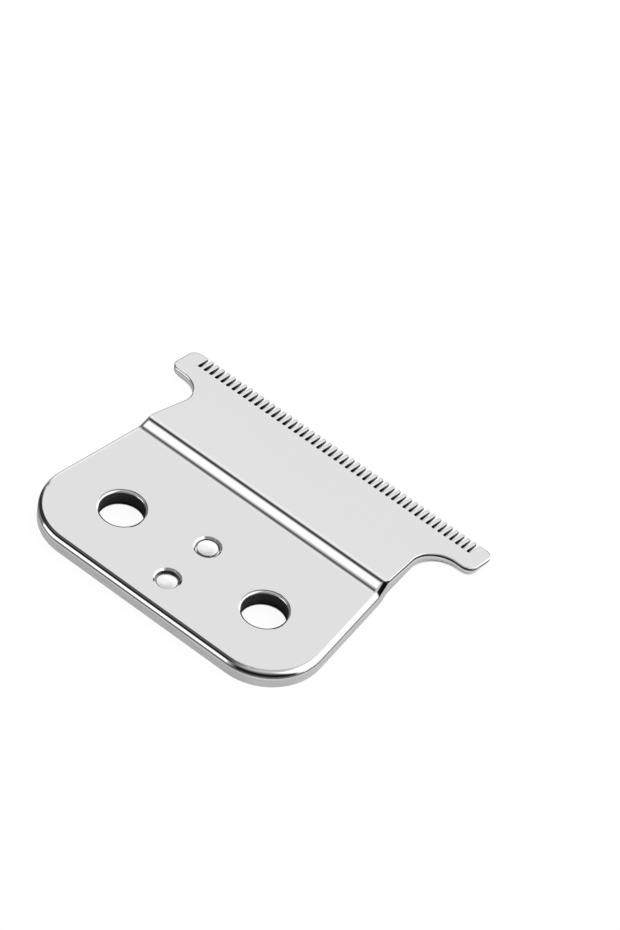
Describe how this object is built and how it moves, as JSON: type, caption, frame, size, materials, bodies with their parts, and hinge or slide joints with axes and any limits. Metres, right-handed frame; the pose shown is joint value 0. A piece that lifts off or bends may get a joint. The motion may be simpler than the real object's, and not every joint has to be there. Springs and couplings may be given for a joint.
{
  "type": "hair clipper blade",
  "caption": "Stepped T-shaped fixed blade for a hair clipper, with a wide toothed head, round screw holes and small rivets in its rounded body.",
  "frame": {"origin": "centre of the bounding box's bottom face, in the plane of the body's flat underside", "axes": "+X along the toothed edge, +Y from the rounded body towards the teeth, +Z out of the upper face"},
  "size_m": [0.0402, 0.0312, 0.0026],
  "materials": {
    "blade_steel": "polished",
    "rivet_steel": "polished"
  },
  "bodies": {
    "root": {"blade_plate": "blade_steel", "front_rivet": "rivet_steel", "rear_rivet": "rivet_steel"}
  },
  "joints": []
}
